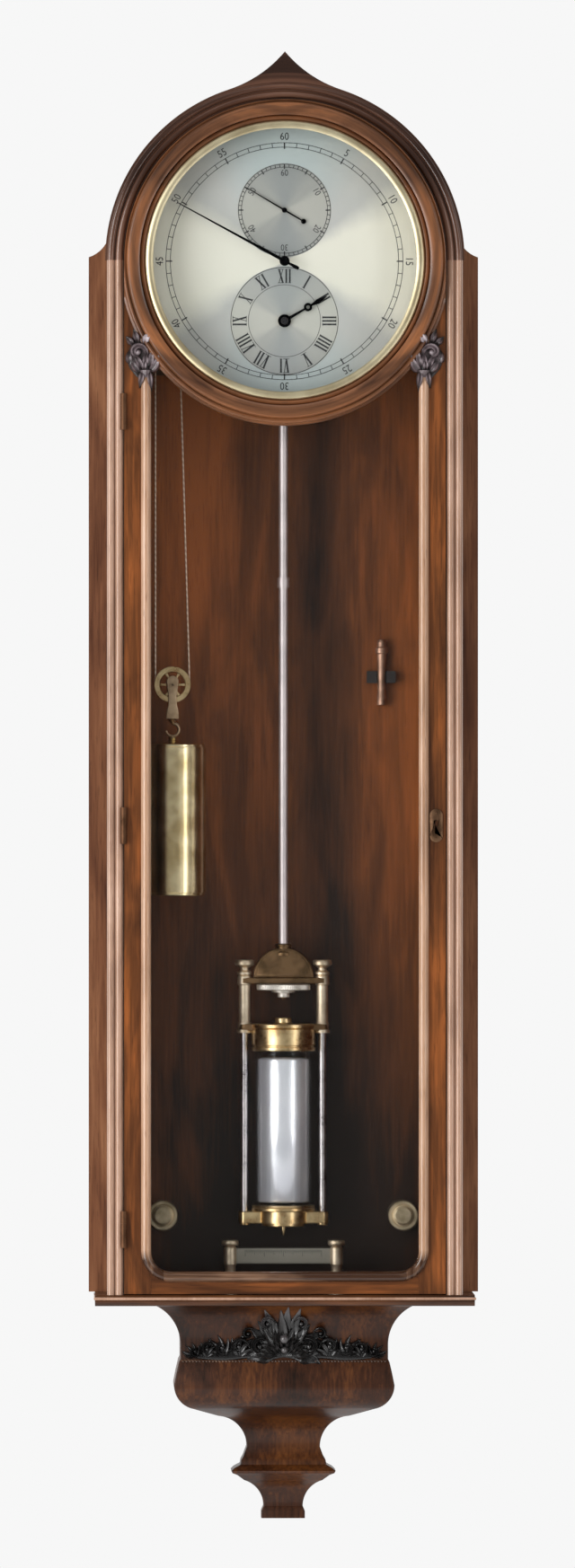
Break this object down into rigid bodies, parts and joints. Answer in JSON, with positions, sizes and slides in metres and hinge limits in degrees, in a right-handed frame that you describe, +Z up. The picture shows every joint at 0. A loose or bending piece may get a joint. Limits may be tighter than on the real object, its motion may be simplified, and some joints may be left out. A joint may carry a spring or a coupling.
{
  "type": "regulator wall clock",
  "caption": "Arched glazed wall regulator clock with hinged door, separate minute, hour and seconds dials, mercury pendulum and weight on a pulley.",
  "frame": {"origin": "centre of the hanging bore at the wall face of the backboard", "axes": "+Z up, -Y out of the clock's front, +Y into the wall, +X to the right seen from the front"},
  "size_m": [0.388, 0.1819, 1.4589],
  "materials": {
    "walnut": "French-polished walnut",
    "dark_walnut": "dark polished walnut",
    "ring_walnut": "polished golden walnut",
    "ebonised": "ebonised carving",
    "lacquered_brass": "lacquered, lightly aged",
    "polished_steel": "polished",
    "blued_steel": "blued",
    "silvered_brass": "silvered, circular grain",
    "clear_glass": "clear",
    "mercury": "liquid metal",
    "gut": "twisted gut"
  },
  "bodies": {
    "case": {"backboard": "dark_walnut", "case_sides": "walnut", "flank_boards": "walnut", "reeded_strips": "walnut", "hood_shell": "dark_walnut", "arch_moulding": "dark_walnut", "base_board": "walnut", "bracket_body": "walnut", "bracket_ornament": "ebonised", "hanger_plate": "lacquered_brass", "pendulum_cock": "lacquered_brass", "movement_arms": "lacquered_brass", "beat_plate": "silvered_brass", "key_clip": "ebonised", "case_hinges": "lacquered_brass", "case_screws": "polished_steel", "dial_plate": "silvered_brass", "front_plate": "lacquered_brass", "back_plate": "lacquered_brass", "guide_bracket": "lacquered_brass", "guide_gut": "gut"},
    "door": {"door_frame": "walnut", "dial_ring": "ring_walnut", "brass_bezel": "lacquered_brass", "glass_panes": "clear_glass", "glazing_bead": "ring_walnut", "carved_brackets": "ebonised", "escutcheon": "lacquered_brass", "door_hinges": "lacquered_brass"},
    "lock_bolt": {"lock_bolt": "lacquered_brass"},
    "pendulum": {"suspension_spring": "polished_steel", "pendulum_rod": "polished_steel", "jar_yoke": "lacquered_brass", "jar_frame": "lacquered_brass", "jar_collar": "lacquered_brass", "glass_jar": "clear_glass", "mercury": "mercury", "jar_base": "lacquered_brass"},
    "rating_nut": {"rating_nut": "polished_steel"},
    "pallets": {"pallets": "polished_steel"},
    "weight": {"weight_shell": "lacquered_brass", "pulley_stirrup": "lacquered_brass", "gut_loop": "gut", "gut_falls": "gut"},
    "weight_pulley": {"weight_pulley": "lacquered_brass"},
    "guide_pulley": {"guide_pulley": "lacquered_brass"},
    "drum": {"drum": "lacquered_brass"},
    "third": {"third_wheel": "lacquered_brass"},
    "centre": {"centre_wheel": "lacquered_brass", "minute_hand": "blued_steel"},
    "escape": {"escape_wheel": "lacquered_brass", "seconds_hand": "blued_steel"},
    "great": {"great_wheel": "lacquered_brass"},
    "click": {"click": "polished_steel"},
    "intermediate": {"intermediate_wheel": "lacquered_brass"},
    "hour": {"hour_wheel": "lacquered_brass", "hour_hand": "blued_steel"},
    "steady_left": {"steady_screw_left": "lacquered_brass"},
    "steady_right": {"steady_screw_right": "lacquered_brass"},
    "key": {"winding_key": "lacquered_brass"}
  },
  "joints": [
    {"name": "door_swing", "type": "hinge", "parent": "case", "child": "door", "pos_m": [-0.1596, -0.1735, -0.7], "axis": [0, 0, -1], "range_deg": [0, 105]},
    {"name": "bolt_slide", "type": "slide", "parent": "door", "child": "lock_bolt", "axis": [1, 0, 0], "range_m": [0, 0.007]},
    {"name": "pendulum_swing", "type": "hinge", "parent": "case", "child": "pendulum", "pos_m": [0, -0.058, -0.038], "axis": [0, 1, 0], "range_deg": [-1.6, 1.6]},
    {"name": "rating_turn", "type": "hinge", "parent": "pendulum", "child": "rating_nut", "pos_m": [0, -0.058, -0.87], "axis": [0, 0, 1], "range_deg": [-180, 180]},
    {"name": "pallet_rock", "type": "hinge", "parent": "case", "child": "pallets", "pos_m": [0, -0.08, -0.038], "axis": [0, 1, 0], "range_deg": [-1.7, 1.7]},
    {"name": "weight_travel", "type": "slide", "parent": "case", "child": "weight", "axis": [0, 0, 1], "range_m": [-0.37, 0.24], "deforming": ["gut_falls"]},
    {"name": "weight_pulley_spin", "type": "hinge", "parent": "weight", "child": "weight_pulley", "pos_m": [-0.1108, -0.095, -0.568], "axis": [0, 1, 0], "range_deg": [-813.9, 1252]},
    {"name": "guide_pulley_spin", "type": "hinge", "parent": "case", "child": "guide_pulley", "pos_m": [-0.0855, -0.095, -0.256], "axis": [0, 1, 0], "range_deg": [-2427.8, 1576.5]},
    {"name": "drum_spin", "type": "hinge", "parent": "case", "child": "drum", "pos_m": [0, -0.095, -0.2072], "axis": [0, 1, 0], "range_deg": [-1635.7, 1062.8]},
    {"name": "third_spin", "type": "hinge", "parent": "case", "child": "third", "pos_m": [0.02081, -0.09, -0.11973], "axis": [0, 1, 0], "continuous": true},
    {"name": "minute_spin", "type": "hinge", "parent": "case", "child": "centre", "pos_m": [0, -0.09, -0.148], "axis": [0, 1, 0], "continuous": true},
    {"name": "seconds_spin", "type": "hinge", "parent": "case", "child": "escape", "pos_m": [0, -0.09, -0.0973], "axis": [0, 1, 0], "continuous": true},
    {"name": "great_spin", "type": "hinge", "parent": "case", "child": "great", "pos_m": [0, -0.09, -0.2072], "axis": [0, 1, 0], "continuous": true},
    {"name": "intermediate_spin", "type": "hinge", "parent": "case", "child": "intermediate", "pos_m": [0.0143, -0.125, -0.17663], "axis": [0, 1, 0], "continuous": true},
    {"name": "hour_spin", "type": "hinge", "parent": "case", "child": "hour", "pos_m": [0, -0.13, -0.2072], "axis": [0, 1, 0], "continuous": true},
    {"name": "click_lift", "type": "hinge", "parent": "great", "child": "click", "pos_m": [-0.05165, -0.08, -0.2072], "axis": [0, 1, 0], "range_deg": [-8, 0], "stiffness_Nm_per_rad": 0.002, "springref_deg": 2.86},
    {"name": "steady_left_travel", "type": "slide", "parent": "case", "child": "steady_left", "axis": [0, 1, 0], "range_m": [0, 0.0075]},
    {"name": "steady_right_travel", "type": "slide", "parent": "case", "child": "steady_right", "axis": [0, 1, 0], "range_m": [0, 0.0075]},
    {"name": "key_lift", "type": "slide", "parent": "case", "child": "key", "axis": [0, -1, 0], "range_m": [0, 0.08]}
  ],
  "couplings": [
    {"joint": "pallet_rock", "follows": "pendulum_swing", "ratio": 1},
    {"joint": "weight_pulley_spin", "follows": "weight_travel", "rad_per_m": -58.824},
    {"joint": "guide_pulley_spin", "follows": "weight_travel", "rad_per_m": 114.29},
    {"joint": "drum_spin", "follows": "weight_travel", "rad_per_m": 76.923},
    {"joint": "minute_spin", "follows": "third_spin", "ratio": -0.125},
    {"joint": "seconds_spin", "follows": "third_spin", "ratio": -7.5},
    {"joint": "great_spin", "follows": "third_spin", "ratio": 0.010417},
    {"joint": "intermediate_spin", "follows": "third_spin", "ratio": 0.041667},
    {"joint": "hour_spin", "follows": "third_spin", "ratio": -0.010417}
  ]
}
